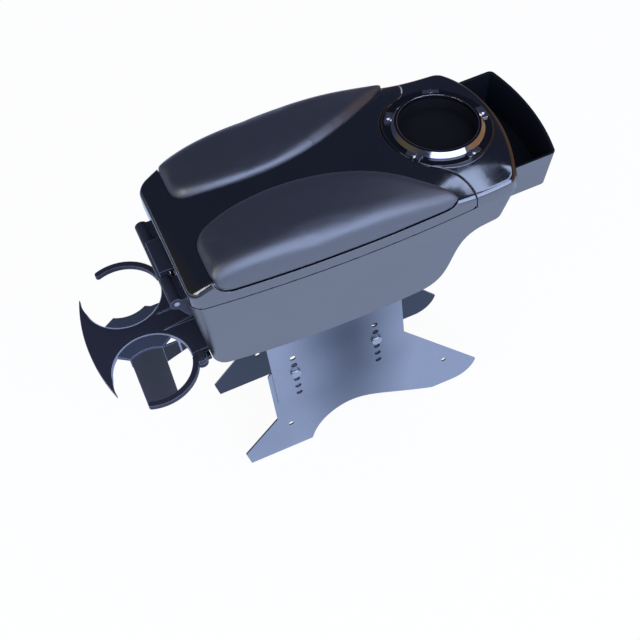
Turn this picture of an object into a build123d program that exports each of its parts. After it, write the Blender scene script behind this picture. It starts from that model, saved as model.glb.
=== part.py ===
"""Car centre armrest: a storage box with a padded lid, a drawer, a tray, a cup holder and a steel foot."""
import os
from math import atan, cos, degrees, radians, sin, sqrt

from build123d import *

# Frame: +X runs from the cup holder to the drawer, +Z is up, Z = 0 is the floor.
# Y = 0 is the plane of symmetry. All sizes are in millimetres.

# Clearances
running_clearance = 0.05
body_gap = 0.4
seam_gap = 1.2
slide_gap = 0.6

# Steel foot
sheet = 2.0
bracket_half_width = 55.0
bracket_ledge = 18.0
bracket_left = -80.5
bracket_right = 70.5
bracket_bottom = 89.0
bracket_corner = 6.0
bracket_flare = 13.0
bracket_bend = 1.8
column_left = -55.5
column_right = 38.0
column_low = 101.5
column_pitch = 12.7
column_count = 6
column_hole = 3.5
leg_screw_row = 3
leg_left = -85.5
leg_top = 150.0
leg_corner = 7.0
foot_left_tip = (-129.5, 21.0)
foot_left_heel = -126.0
foot_right_tip = (157.0, 22.0)
foot_right_heel = 128.0
leg_knee_left = 64.0
leg_knee_right = 129.0
arch_left = -50.5
arch_right = 101.0
arch_peak = (-14.0, 40.0)
arch_rise = (0.3, 1.0)
arch_fall = (1.0, -0.45)
foot_hole = 3.0
foot_hole_left = -71.5
foot_hole_right = 116.8
foot_hole_height = 46.0

# Screws and nuts of the foot
leg_shank = 3.0
leg_head = 6.0
leg_head_height = 3.6
leg_nut = 5.0
leg_nut_height = 5.0
leg_thread_end = 2.0
floor_shank = 2.5
floor_head = 5.0
floor_head_height = 2.8
floor_nut = 4.0
floor_nut_height = 4.0
floor_screw_x = 50.0
floor_screw_y = 44.0

# Storage box
box_bottom = 217.0
rim_height = 327.0
wall = 3.0
plan_corner = 15.0
bow_x = 23.5
rim_left = -143.5
rim_half_left = 79.0
rim_half_bow = 91.0
rim_right = 185.5
rim_half_right = 84.0
rim_end = 205.5
base_left = -134.5
base_half_left = 64.0
base_half_bow = 75.5
base_right = 149.5
base_half_right = 68.0
base_end = 169.5
sweep_start = 83.5
sweep_end = 153.5
raised_drop = 38.0
partition_x = 96.0

# Crown of the lid and the cover: position along X, rise above the rim on the centre line and at the edge
ring_x = 143.5
crown_margin = 1.0
crown_left = (rim_left, 20.0, 16.0)
crown_heel = (-120.0, 33.0, 28.0)
crown_back = (-95.0, 40.0, 37.0)
crown_peak = (-30.0, 44.0, 41.0)
crown_waist = (30.0, 44.0, 37.0)
crown_lobe = (90.0, 39.5, 25.0)
crown_ring = (ring_x, 31.5, 12.0)
crown_right = (rim_end, 20.0, 6.5)
crown_edge = 7.0
shell = 2.6

# Round tray and its bezel
ring_rise = 29.0
ring_tilt = 6.0
land_radius = 53.6
bay_radius = 54.5
lobe_x = 117.0
lobe_middle = (134.8, 62.6)
lobe_outer = (141.0, 92.0)
tray_radius = 38.0
tray_wall = 1.6
tray_depth = 11.0
tray_flange = 43.5
bezel_inner = 39.4
bezel_top = 42.0
bezel_outer = 46.0
bezel_height = 6.0
bezel_tabs = 5
tab_radius = 51.8
tab_width = 16.0
tab_height = 1.8
bezel_screw_circle = 48.8
bezel_shank = 1.4
bezel_screw_length = 4.0
bezel_head = 2.6
bezel_head_height = 1.4

# Lid
lid_gap = 1.2
lobe_corner = 5.0
liner = 3.0
pad_rise = 8.5
pad_recess = 3.0
pad_low_rise = 13.0
pad_left = -119.0
pad_right = 127.0
pad_arc_radius = 216.0
pad_arc_x = -38.5
pad_gap_half = 11.5
pad_shoulder = 18.0
seat_shoulder = 4.0
pad_heel_corner = 20.0
pad_tip_corner = 10.0
pad_corner = 18.0

# Lid hinge
hinge_x = -152.5
hinge_drop = 11.0
knuckle = 6.5
hinge_pin_radius = 2.5
knuckle_inner = 23.0
knuckle_outer = 54.0
knuckle_side_gap = 2.0
hinge_plate = 3.0
hinge_plate_drop = 7.0
hinge_plate_length = 15.0
leaf = 3.0
leaf_inner = -112.0
leaf_web = 8.0
notch_depth = 6.0
hinge_screw = 1.8
hinge_screw_head = 3.4
hinge_screw_head_height = 1.8
hinge_screw_y = 14.0
hinge_screw_rise = 7.0
leaf_screw_x = -122.0
leaf_screw_y = 13.0

# Drawer
drawer_front = 245.5
drawer_front_corner = 236.5
drawer_half = 66.0
drawer_half_bottom = 62.5
drawer_front_lean = 8.0
drawer_back = 150.0
drawer_rise = 7.0
drawer_back_drop = 10.0
drawer_step = 190.0
drawer_wall = 2.5
drawer_corner = 6.0
drawer_in = 40.0
mouth_gap = 1.0
guide_rib = 2.5
guide_height = 8.0

# Cup holder
cup_plate_top = 234.0
cup_plate = 5.0
cup_x = -193.5
cup_y = 48.75
cup_ring = 40.0
crescent_x = -245.5
crescent_radius = 220.0
crescent_half = 64.4
tip_shift = 2.0
tip_y = 57.0
tip_ring = 40.2
root_half = 51.5
can_radius = 33.0
can_y = 56.8
lip_half = 17.0
lip_root_half = 29.5
lip_cone_radius = 46.0
lip_drop = 2.5
lip_overcut = 1.5
lip_bite = 1.5
cradle_wall = 3.0
cradle_bottom = 142.0
cradle_corner = 7.0
brace_low_outer = 204.0
brace_low_inner = 219.5
brace_wall = 2.2
root_flange = 4.0
root_flange_low = 218.5
root_flange_half = 44.0
gusset_y = 10.0
gusset_reach = 34.0
gusset_rise = 5.0
gusset_wall = 2.0
cup_screw_y = 14.0
cup_screw_height = 223.5

# Arms of the cup holder
arm_width = 6.2
arm_height = 5.5
arm_root_angle = 12.0
arm_tip_angle = 110.0
arm_pivot_x = -146.5
arm_pivot_y = 58.5
arm_boss = 6.5
lug = 5.0
lug_root = 42.0
pivot_radius = 2.5
pivot_head = 4.5
pivot_head_height = 1.2

# Sizes that follow from the rim
crown_half = rim_half_bow + crown_margin
crown_height = crown_peak[1] + pad_rise
raised_bottom = rim_height - raised_drop
lid_bottom = rim_height + lid_gap
hinge_height = rim_height - hinge_drop
hinge_plate_high = hinge_height - hinge_plate_drop
hinge_plate_low = hinge_plate_high - hinge_plate_length
hinge_screw_height = hinge_plate_low + hinge_screw_rise
drawer_top = rim_height + drawer_rise
drawer_back_top = drawer_top - drawer_back_drop
mouth_top = drawer_top + mouth_gap

os.makedirs("parts", exist_ok=True)


def save(part, name):
    """Name a finished piece and write it."""
    part.label = name
    export_step(part, f"parts/{name}.step")


def wall_x(height):
    """X of the box's flat end wall, on the cup holder's side, at a height."""
    return base_left + (rim_left - base_left) * (height - box_bottom) / (rim_height - box_bottom)


wall_slope = atan((base_left - rim_left) / (rim_height - box_bottom))


def end_wall_plane(y, height, off):
    """Plane that faces out of the end wall, on its outside or a distance off it."""
    outward = (-cos(wall_slope), 0, -sin(wall_slope))
    return Plane(origin=(wall_x(height), y, height), x_dir=(0, 1, 0), z_dir=outward).offset(off)


def plan_sketch(height, left, half_left, half_bow, right, half_right, end, inset):
    """Outline of the box in plan: a straight end, two bowed sides and a rounded end."""
    with BuildSketch(Plane.XY.offset(height)) as plan:
        with BuildLine():
            side = ThreePointArc((left + inset, half_left - inset), (bow_x, half_bow - inset),
                                 (right - inset, half_right - inset))
            nose = ThreePointArc(side @ 1, (end - inset, 0), (right - inset, inset - half_right))
            other = ThreePointArc(nose @ 1, (bow_x, inset - half_bow), (left + inset, inset - half_left))
            Line(other @ 1, side @ 0)
        make_face()
        fillet(plan.vertices(), plan_corner - inset)
    return plan.sketch


def rim_plan(height, inset=0.0):
    return plan_sketch(height, rim_left, rim_half_left, rim_half_bow, rim_right, rim_half_right, rim_end,
                       inset)


def base_plan(height, inset=0.0):
    return plan_sketch(height, base_left, base_half_left, base_half_bow, base_right, base_half_right,
                       base_end, inset)


def below_sweep(shift, rise):
    """Region under the box's swept-up bottom, drawn on the plane of symmetry."""
    with BuildSketch(Plane.XZ) as under:
        with BuildLine():
            floor = Line((base_left - rim_end, box_bottom + rise), (sweep_start - shift, box_bottom + rise))
            sweep_up = Spline(floor @ 1, (sweep_end - shift, raised_bottom + rise),
                              tangents=((1, 0), (1, 0)))
            far = Line(sweep_up @ 1, (2 * rim_end, raised_bottom + rise))
            Polyline(far @ 1, (2 * rim_end, 0), (base_left - rim_end, 0), floor @ 0)
        make_face()
    return under.sketch


def cover_plan(gap):
    """Region of the fixed cover in plan: a round tongue about the ring, and all behind the lobes."""
    with BuildSketch(Plane.XY.offset(rim_height)) as region:
        with Locations((ring_x, 0)):
            Circle(bay_radius + gap)
        inner_y = sqrt((bay_radius + gap) ** 2 - (ring_x - lobe_x + gap) ** 2)
        with BuildLine():
            near = ThreePointArc((lobe_x - gap, -inner_y), (lobe_middle[0] - gap, -lobe_middle[1]),
                                 (lobe_outer[0] - gap, -lobe_outer[1]))
            far = ThreePointArc((lobe_x - gap, inner_y), (lobe_middle[0] - gap, lobe_middle[1]),
                                (lobe_outer[0] - gap, lobe_outer[1]))
            Polyline(near @ 1, (2 * rim_end, -lobe_outer[1]), (2 * rim_end, lobe_outer[1]), far @ 1)
            Line(far @ 0, near @ 0)
        make_face()
    return region.sketch


def crown_section(station, drop):
    """Cross-section of the crown at a station: flat bottom on the rim and an arched top."""
    x, centre, edge = station
    with BuildSketch(Plane(origin=(x, 0, 0), x_dir=(0, 1, 0), z_dir=(1, 0, 0))) as section:
        with BuildLine():
            arch = ThreePointArc((-crown_half, rim_height + edge - drop), (0, rim_height + centre - drop),
                                 (crown_half, rim_height + edge - drop))
            Polyline(arch @ 1, (crown_half, rim_height), (-crown_half, rim_height), arch @ 0)
        make_face()
    return section.sketch


def crown_block(drop):
    """Arched block over the whole box; a drop lowers its top, and a negative drop raises it."""
    stations = (crown_left, crown_heel, crown_back, crown_peak,
                crown_waist, crown_lobe, crown_ring, crown_right)
    with BuildPart() as block:
        loft([crown_section(station, drop) for station in stations])
    return block.part


def shoulder_block(drop, inset, radius):
    """Arched block between the bowed sides alone, with its two long top edges rounded."""
    with BuildPart() as block:
        add(crown_block(drop))
        with BuildSketch(Plane.XY.offset(rim_height)):
            with BuildLine():
                near = ThreePointArc((rim_left, inset - rim_half_left), (bow_x, inset - rim_half_bow),
                                     (rim_right, inset - rim_half_right))
                far = ThreePointArc((rim_right, rim_half_right - inset), (bow_x, rim_half_bow - inset),
                                    (rim_left, rim_half_left - inset))
                Line(near @ 1, far @ 0)
                Line(far @ 1, near @ 0)
            make_face()
        extrude(amount=2 * crown_height, mode=Mode.INTERSECT)
        fillet(block.faces().sort_by(Axis.Z)[-1].edges().sort_by(SortBy.LENGTH)[-2:], radius)
    return block.part


# Crown shared by the lid and the cover, outside and inside
with BuildPart() as crown:
    add(crown_block(0))
    extrude(rim_plan(rim_height), amount=crown_height, mode=Mode.INTERSECT)
    fillet(crown.faces().sort_by(Axis.Z)[-1].edges(), crown_edge)

with BuildPart() as crown_inside:
    add(crown_block(pad_recess + shell))
    extrude(rim_plan(rim_height, pad_recess + shell), amount=crown_height, mode=Mode.INTERSECT)

ring_normal = (sin(radians(ring_tilt)), 0, cos(radians(ring_tilt)))
ring_plane = Plane(origin=(ring_x, 0, rim_height + ring_rise), x_dir=(ring_normal[2], 0, -ring_normal[0]),
                   z_dir=ring_normal)

hinge_screws_at = [(sign * hinge_screw_y, hinge_screw_height) for sign in (-1, 1)]
cup_screws_at = [(sign * cup_screw_y, cup_screw_height) for sign in (-1, 1)]
end_wall_screws = hinge_screws_at + cup_screws_at
hinge_screw_seat = hinge_plate * cos(wall_slope)
cup_screw_seat = root_flange * cos(wall_slope)

# Storage box
with BuildPart() as box_cavity:
    loft([rim_plan(rim_height, wall), base_plan(box_bottom, wall)], ruled=True)
    extrude(below_sweep(wall, wall), amount=rim_half_bow, both=True, mode=Mode.SUBTRACT)
    with BuildSketch(Plane.XY.offset(box_bottom)):
        with Locations((partition_x + wall / 2, 0)):
            Rectangle(wall, 2 * rim_half_bow)
    extrude(amount=rim_height - box_bottom, mode=Mode.SUBTRACT)

with BuildPart() as storage_box:
    loft([rim_plan(rim_height), base_plan(box_bottom)], ruled=True)
    extrude(below_sweep(0, 0), amount=rim_half_bow, both=True, mode=Mode.SUBTRACT)
    add(box_cavity.part, mode=Mode.SUBTRACT)
    # Mouth of the drawer in the rounded end
    with BuildSketch(Plane.XY.offset(raised_bottom + wall)):
        with Locations((rim_end, 0)):
            Rectangle(2 * (rim_end - sweep_end), 2 * (drawer_half + slide_gap))
    extrude(amount=rim_height - raised_bottom, mode=Mode.SUBTRACT)
    # Guide ribs beside the drawer
    with BuildSketch(Plane.XY.offset(raised_bottom + wall)):
        guide_y = drawer_half + slide_gap + guide_rib / 2
        with Locations((sweep_end, -guide_y), (sweep_end, guide_y)):
            Rectangle(base_end - sweep_end, guide_rib)
    extrude(amount=guide_height)
    # Notch in the end wall for the lid's hinge leaf
    with BuildSketch(Plane.XY.offset(lid_bottom - leaf - knuckle_side_gap)):
        with Locations((rim_left, 0)):
            Rectangle(2 * notch_depth, 2 * knuckle_inner)
    extrude(amount=leaf + knuckle_side_gap, mode=Mode.SUBTRACT)
    # Holes for the screws of the hinge, the cup holder and the bracket
    for y, height in end_wall_screws:
        with BuildSketch(end_wall_plane(y, height, 0)):
            Circle(hinge_screw + running_clearance)
        extrude(amount=-2 * wall, mode=Mode.SUBTRACT)
    with BuildSketch(Plane.XY.offset(box_bottom)):
        with GridLocations(2 * floor_screw_x, 2 * floor_screw_y, 2, 2):
            Circle(floor_shank + running_clearance)
    extrude(amount=wall, mode=Mode.SUBTRACT)
save(storage_box.part, "storage_box")

# Fixed cover over the drawer, with the round land for the tray
with BuildPart() as cover_hollow:
    add(crown_inside.part)
    extrude(cover_plan(-shell), amount=crown_height, mode=Mode.INTERSECT)

with BuildPart() as top_cover:
    add(crown.part)
    extrude(cover_plan(0), amount=crown_height, mode=Mode.INTERSECT)
    add(cover_hollow.part, mode=Mode.SUBTRACT)
    with BuildSketch(ring_plane):
        Circle(land_radius)
    extrude(amount=-tray_depth)
    with BuildSketch(ring_plane):
        Circle(land_radius)
    extrude(amount=crown_height, mode=Mode.SUBTRACT)
    with BuildSketch(ring_plane):
        Circle(tray_radius + tray_wall + running_clearance)
    extrude(amount=2 * crown_height, both=True, mode=Mode.SUBTRACT)
    with BuildSketch(ring_plane):
        with PolarLocations(bezel_screw_circle, bezel_tabs):
            Circle(bezel_shank + running_clearance)
    extrude(amount=-tray_depth, mode=Mode.SUBTRACT)
    with BuildSketch(Plane.XY.offset(rim_height)):
        with Locations((rim_end, 0)):
            Rectangle(2 * (rim_end - drawer_step + drawer_in + slide_gap), 2 * (drawer_half + slide_gap))
    extrude(amount=mouth_top - rim_height, mode=Mode.SUBTRACT)
save(top_cover.part, "top_cover")

# Round tray: a flanged dish
with BuildPart() as round_tray:
    with BuildSketch(ring_plane):
        Circle(tray_flange)
    extrude(amount=tray_wall)
    with BuildSketch(ring_plane):
        Circle(tray_radius + tray_wall)
    extrude(amount=-tray_depth)
    with BuildSketch(ring_plane.offset(tray_wall)):
        Circle(tray_radius)
    extrude(amount=-tray_depth, mode=Mode.SUBTRACT)
save(round_tray.part, "round_tray")

# Bezel: a coned ring over the tray's flange, with screwed tabs
bezel_cone = degrees(atan((bezel_outer - bezel_top) / (bezel_height - tab_height)))
with BuildPart() as tray_bezel:
    with BuildSketch(ring_plane):
        Circle(bezel_outer)
        with PolarLocations(0, bezel_tabs):
            with Locations((tab_radius / 2, 0)):
                Rectangle(tab_radius, tab_width)
    extrude(amount=tab_height)
    fillet(tray_bezel.edges().filter_by(Axis((0, 0, 0), ring_plane.z_dir)).group_by(
        lambda edge: edge.center().sub(ring_plane.origin).length)[-1], tab_height)
    with BuildSketch(ring_plane.offset(tab_height)):
        Circle(bezel_outer)
    extrude(amount=bezel_height - tab_height, taper=bezel_cone)
    with BuildSketch(ring_plane):
        Circle(bezel_inner)
    extrude(amount=bezel_height, mode=Mode.SUBTRACT)
    with BuildSketch(ring_plane):
        Circle(tray_flange + running_clearance)
    extrude(amount=tray_wall, mode=Mode.SUBTRACT)
    with BuildSketch(ring_plane):
        with PolarLocations(bezel_screw_circle, bezel_tabs):
            Circle(bezel_shank + running_clearance)
    extrude(amount=tab_height, mode=Mode.SUBTRACT)
save(tray_bezel.part, "tray_bezel")

# Screws of the bezel
with BuildPart() as bezel_screws:
    with BuildSketch(ring_plane.offset(tab_height)):
        with PolarLocations(bezel_screw_circle, bezel_tabs):
            Circle(bezel_head)
    extrude(amount=bezel_head_height)
    fillet(bezel_screws.faces().group_by(Axis.Z)[-1].edges(), bezel_head_height / 2)
    with BuildSketch(ring_plane.offset(tab_height)):
        with PolarLocations(bezel_screw_circle, bezel_tabs):
            Circle(bezel_shank)
    extrude(amount=-bezel_screw_length)
save(bezel_screws.part, "bezel_screws")

# Brackets: an angle plate under each side of the box, with two columns of holes in its flange
column_heights = [column_low + row * column_pitch for row in range(column_count)]
column_holes = [(x, height) for x in (column_left, column_right) for height in column_heights]
leg_screw_points = [(x, column_heights[leg_screw_row]) for x in (column_left, column_right)]
with BuildPart() as bracket_near:
    with BuildSketch(Plane.XZ.offset(bracket_half_width)) as flange:
        with BuildLine():
            Polyline((bracket_left, bracket_bottom), (bracket_right, bracket_bottom),
                     (bracket_right, box_bottom), (bracket_left, box_bottom), close=True)
        make_face()
        fillet(flange.vertices().group_by(Axis.Y)[0], bracket_corner)
        for x, side in ((bracket_left, -1), (bracket_right, 1)):
            with Locations((x + side * bracket_flare / 2, box_bottom - bracket_flare / 2)):
                Rectangle(bracket_flare, bracket_flare)
            with Locations((x + side * bracket_flare, box_bottom - bracket_flare)):
                Circle(bracket_flare - sheet, mode=Mode.SUBTRACT)
        with Locations(*column_holes):
            Circle(column_hole, mode=Mode.SUBTRACT)
    extrude(amount=-sheet)
    with BuildSketch(Plane.XY.offset(box_bottom - sheet)):
        with Locations(((bracket_left + bracket_right) / 2, bracket_ledge / 2 - bracket_half_width)):
            Rectangle(bracket_right - bracket_left + 2 * bracket_flare, bracket_ledge)
        with Locations((-floor_screw_x, -floor_screw_y), (floor_screw_x, -floor_screw_y)):
            Circle(floor_shank + running_clearance, mode=Mode.SUBTRACT)
    extrude(amount=sheet)
    fillet(bracket_near.edges().filter_by(Axis.X).group_by(Axis.Z)[-1].sort_by(Axis.Y)[0], bracket_bend)
save(bracket_near.part, "bracket_near")

with BuildPart() as bracket_far:
    mirror(bracket_near.part, about=Plane.XZ)
save(bracket_far.part, "bracket_far")

# Leg plates: flat sheets bolted inside the flanges, each cut to two feet with an arch between them
with BuildPart() as leg_plate_near:
    with BuildSketch(Plane.XZ.offset(bracket_half_width - sheet)) as leg:
        with BuildLine():
            arch = Spline((arch_left, 0), arch_peak, (arch_right, 0), tangents=(arch_rise, arch_fall))
            right_sole = Line(arch @ 1, (foot_right_heel, 0))
            right_toe = TangentArc(right_sole @ 1, foot_right_tip, tangent=(1, 0))
            Polyline(right_toe @ 1, (bracket_right, leg_knee_right), (bracket_right, leg_top),
                     (leg_left, leg_top), (leg_left, leg_knee_left), foot_left_tip,
                     (foot_left_heel, 0), arch @ 0)
        make_face()
        fillet(leg.vertices().group_by(Axis.Y)[-1], leg_corner)
        with Locations(*leg_screw_points):
            Circle(leg_shank + running_clearance, mode=Mode.SUBTRACT)
        with Locations((foot_hole_left, foot_hole_height), (foot_hole_right, foot_hole_height)):
            Circle(foot_hole, mode=Mode.SUBTRACT)
    extrude(amount=-sheet)
save(leg_plate_near.part, "leg_plate_near")

with BuildPart() as leg_plate_far:
    mirror(leg_plate_near.part, about=Plane.XZ)
save(leg_plate_far.part, "leg_plate_far")

with BuildPart() as leg_screws:
    with BuildSketch(Plane.XZ.offset(bracket_half_width)):
        with Locations(*leg_screw_points):
            Circle(leg_head)
    extrude(amount=leg_head_height)
    fillet(leg_screws.faces().group_by(Axis.Y)[0].edges(), leg_head_height / 2)
    with BuildSketch(Plane.XZ.offset(bracket_half_width)):
        with Locations(*leg_screw_points):
            Circle(leg_shank)
    extrude(amount=-(2 * sheet + leg_nut_height + leg_thread_end))
    mirror(about=Plane.XZ)
save(leg_screws.part, "leg_screws")

with BuildPart() as leg_nuts:
    with BuildSketch(Plane.XZ.offset(bracket_half_width - 2 * sheet)):
        with Locations(*leg_screw_points):
            RegularPolygon(leg_nut, 6, major_radius=False)
            Circle(leg_shank + running_clearance, mode=Mode.SUBTRACT)
    extrude(amount=-leg_nut_height)
    mirror(about=Plane.XZ)
save(leg_nuts.part, "leg_nuts")

# Screws and nuts that hold the bracket to the box's floor
with BuildPart() as floor_screws:
    with BuildSketch(Plane.XY.offset(box_bottom + wall)):
        with GridLocations(2 * floor_screw_x, 2 * floor_screw_y, 2, 2):
            Circle(floor_head)
    extrude(amount=floor_head_height)
    fillet(floor_screws.faces().group_by(Axis.Z)[-1].edges(), floor_head_height / 2)
    with BuildSketch(Plane.XY.offset(box_bottom + wall)):
        with GridLocations(2 * floor_screw_x, 2 * floor_screw_y, 2, 2):
            Circle(floor_shank)
    extrude(amount=-(wall + sheet + floor_nut_height))
save(floor_screws.part, "floor_screws")

with BuildPart() as floor_nuts:
    with BuildSketch(Plane.XY.offset(box_bottom - sheet)):
        with GridLocations(2 * floor_screw_x, 2 * floor_screw_y, 2, 2):
            RegularPolygon(floor_nut, 6, major_radius=False)
            Circle(floor_shank + running_clearance, mode=Mode.SUBTRACT)
    extrude(amount=-floor_nut_height)
save(floor_nuts.part, "floor_nuts")

# Pads: leaf shapes set in the crown, blunt at the hinge and pointed at the lobes, wrapped over its sides
with BuildPart() as pad_pocket:
    with BuildSketch() as leaf_outline:
        with Locations((pad_arc_x, -(pad_gap_half + pad_arc_radius))):
            Circle(pad_arc_radius)
        with Locations(((pad_left + pad_right) / 2, -crown_half)):
            Rectangle(pad_right - pad_left, 2 * crown_half, mode=Mode.INTERSECT)
        fillet(leaf_outline.vertices().group_by(Axis.X)[0].sort_by(Axis.Y)[-1], pad_heel_corner)
        fillet(leaf_outline.vertices().group_by(Axis.X)[-1].sort_by(Axis.Y)[-1], pad_tip_corner)
    extrude(amount=2 * rim_height)
    with BuildSketch(Plane.XZ):
        with Locations(((pad_left + pad_right) / 2, rim_height + pad_low_rise + crown_half)):
            RectangleRounded(pad_right - pad_left, 2 * crown_half, pad_corner)
    extrude(amount=2 * crown_half, mode=Mode.INTERSECT)
    add(shoulder_block(pad_recess, pad_recess, seat_shoulder), mode=Mode.SUBTRACT)

with BuildPart() as pad_near:
    add(shoulder_block(-pad_rise, 0, pad_shoulder))
    add(pad_pocket.part, mode=Mode.INTERSECT)
save(pad_near.part, "pad_near")

with BuildPart() as pad_far:
    mirror(pad_near.part, about=Plane.XZ)
save(pad_far.part, "pad_far")

# Lid: a shell with two lobes beside the ring and a pocket for each pad
leaf_screws_at = [(leaf_screw_x, sign * leaf_screw_y) for sign in (-1, 1)]
with BuildPart() as lid_hollow:
    add(crown_inside.part)
    extrude(cover_plan(seam_gap + shell), amount=crown_height, mode=Mode.SUBTRACT)

with BuildPart() as lid_shell:
    add(crown.part)
    extrude(cover_plan(seam_gap), amount=crown_height, mode=Mode.SUBTRACT)
    add(lid_hollow.part, mode=Mode.SUBTRACT)
    add(pad_pocket.part, mode=Mode.SUBTRACT)
    add(mirror(pad_pocket.part, about=Plane.XZ, mode=Mode.PRIVATE), mode=Mode.SUBTRACT)
    extrude(rim_plan(rim_height), amount=lid_gap, mode=Mode.SUBTRACT)
    # Rounded lower corner of each lobe
    with BuildSketch(Plane.XZ):
        with Locations((lobe_outer[0] - seam_gap - lobe_corner / 2, lid_bottom + lobe_corner / 2)):
            Rectangle(lobe_corner, lobe_corner)
        with Locations((lobe_outer[0] - seam_gap - lobe_corner, lid_bottom + lobe_corner)):
            Circle(lobe_corner, mode=Mode.SUBTRACT)
    extrude(amount=crown_half, both=True, mode=Mode.SUBTRACT)
save(lid_shell.part, "lid_shell")

with BuildPart() as lid_liner:
    extrude(rim_plan(lid_bottom, pad_recess + shell + running_clearance), amount=liner)
    extrude(cover_plan(seam_gap + shell + running_clearance), amount=crown_height, mode=Mode.SUBTRACT)
    with BuildSketch(Plane.XY.offset(lid_bottom)):
        with Locations(*leaf_screws_at):
            Circle(hinge_screw + running_clearance)
    extrude(amount=liner, mode=Mode.SUBTRACT)
save(lid_liner.part, "lid_liner")

# Lid hinge: knuckles on the end wall, a leaf under the lid and a pin
with BuildPart() as hinge_base:
    with BuildSketch(Plane.XZ):
        with BuildLine():
            Polyline((wall_x(hinge_plate_low), hinge_plate_low),
                     (wall_x(hinge_plate_high), hinge_plate_high),
                     (wall_x(hinge_plate_high) - hinge_plate, hinge_plate_high),
                     (wall_x(hinge_plate_low) - hinge_plate, hinge_plate_low), close=True)
        make_face()
    extrude(amount=knuckle_outer, both=True)
    with BuildSketch(Plane.XZ.offset(knuckle_inner)):
        with Locations((hinge_x, hinge_height)):
            Circle(knuckle)
        with BuildLine():
            Polyline((hinge_x, hinge_height - knuckle),
                     (wall_x(hinge_plate_low) - hinge_plate, hinge_plate_low),
                     (wall_x(hinge_plate_low), hinge_plate_low),
                     (wall_x(hinge_height + knuckle / 2), hinge_height + knuckle / 2),
                     (hinge_x, hinge_height + knuckle / 2), close=True)
        make_face()
    extrude(amount=knuckle_outer - knuckle_inner)
    mirror(about=Plane.XZ)
    with BuildSketch(Plane.XZ):
        with Locations((hinge_x, hinge_height)):
            Circle(hinge_pin_radius + running_clearance)
    extrude(amount=knuckle_outer, both=True, mode=Mode.SUBTRACT)
    for y, height in hinge_screws_at:
        with BuildSketch(end_wall_plane(y, height, 0)):
            Circle(hinge_screw + running_clearance)
        extrude(amount=2 * hinge_plate, mode=Mode.SUBTRACT)
save(hinge_base.part, "hinge_base")

with BuildPart() as lid_hinge_leaf:
    with BuildSketch(Plane.XZ):
        with BuildLine():
            Polyline((hinge_x - leaf_web / 2, hinge_height), (hinge_x - leaf_web / 2, lid_bottom),
                     (leaf_inner, lid_bottom), (leaf_inner, lid_bottom - leaf),
                     (hinge_x + leaf_web / 2, lid_bottom - leaf), (hinge_x + leaf_web / 2, hinge_height),
                     close=True)
        make_face()
        with Locations((hinge_x, hinge_height)):
            Circle(knuckle)
            Circle(hinge_pin_radius + running_clearance, mode=Mode.SUBTRACT)
    extrude(amount=knuckle_inner - knuckle_side_gap, both=True)
    with BuildSketch(Plane.XY.offset(lid_bottom)):
        with Locations(*leaf_screws_at):
            Circle(hinge_screw + running_clearance)
    extrude(amount=-leaf, mode=Mode.SUBTRACT)
save(lid_hinge_leaf.part, "lid_hinge_leaf")

with BuildPart() as hinge_pin:
    with BuildSketch(Plane.XZ):
        with Locations((hinge_x, hinge_height)):
            Circle(hinge_pin_radius)
    extrude(amount=knuckle_outer, both=True)
save(hinge_pin.part, "hinge_pin")

with BuildPart() as leaf_screws:
    with BuildSketch(Plane.XY.offset(lid_bottom - leaf)):
        with Locations(*leaf_screws_at):
            Circle(hinge_screw_head)
    extrude(amount=-hinge_screw_head_height)
    with BuildSketch(Plane.XY.offset(lid_bottom - leaf)):
        with Locations(*leaf_screws_at):
            Circle(hinge_screw)
    extrude(amount=leaf + liner)
save(leaf_screws.part, "leaf_screws")

with BuildPart() as hinge_screws:
    for y, height in hinge_screws_at:
        with BuildSketch(end_wall_plane(y, height, hinge_screw_seat)):
            Circle(hinge_screw_head)
        extrude(amount=hinge_screw_head_height)
        with BuildSketch(end_wall_plane(y, height, hinge_screw_seat)):
            Circle(hinge_screw)
        extrude(amount=-(hinge_screw_seat + wall))
save(hinge_screws.part, "hinge_screws")

# Drawer: a tapered tray with a bowed front, standing part way out
drawer_bottom = raised_bottom + wall + body_gap


def drawer_plan(height, half, lean, inset):
    """Outline of the drawer in plan at a height."""
    with BuildSketch(Plane.XY.offset(height)) as plan:
        with BuildLine():
            corner = drawer_front_corner - lean - inset
            front = ThreePointArc((corner, half - inset), (drawer_front - lean - inset, 0),
                                  (corner, inset - half))
            Polyline(front @ 1, (drawer_back + inset, inset - half), (drawer_back + inset, half - inset),
                     front @ 0)
        make_face()
        fillet(plan.vertices(), drawer_corner - inset)
    return plan.sketch


with BuildPart() as drawer_inside:
    floor = drawer_bottom + drawer_wall
    loft([drawer_plan(drawer_top, drawer_half, 0, drawer_wall),
          drawer_plan(floor, drawer_half_bottom, drawer_front_lean, drawer_wall)], ruled=True)

with BuildPart() as drawer:
    loft([drawer_plan(drawer_top, drawer_half, 0, 0),
          drawer_plan(drawer_bottom, drawer_half_bottom, drawer_front_lean, 0)], ruled=True)
    add(drawer_inside.part, mode=Mode.SUBTRACT)
    with BuildSketch(Plane.XY.offset(drawer_back_top)):
        with Locations(((drawer_back + drawer_step) / 2, 0)):
            Rectangle(drawer_step - drawer_back, 2 * drawer_half)
    extrude(amount=drawer_top - drawer_back_top, mode=Mode.SUBTRACT)
save(drawer.part, "drawer")

# Cup holder: an anchor-shaped plate with two open rings, a curved cradle under each ring and a braced root
cup_plate_bottom = cup_plate_top - cup_plate
cup_root = wall_x(cup_plate_top)
lip_y = can_y - sqrt(can_radius ** 2 - lip_half ** 2)
lip_root_y = cup_y - sqrt((cup_ring + lip_bite) ** 2 - lip_root_half ** 2)
cradle_radius = can_radius + cradle_wall
brace_y = can_y - sqrt(cradle_radius ** 2 - lip_half ** 2) + body_gap
brace_x = cup_x + lip_half - body_gap
brace_end = root_flange / 2
arm_bottom = cup_plate_top - arm_height
lug_top = arm_bottom - body_gap

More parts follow.
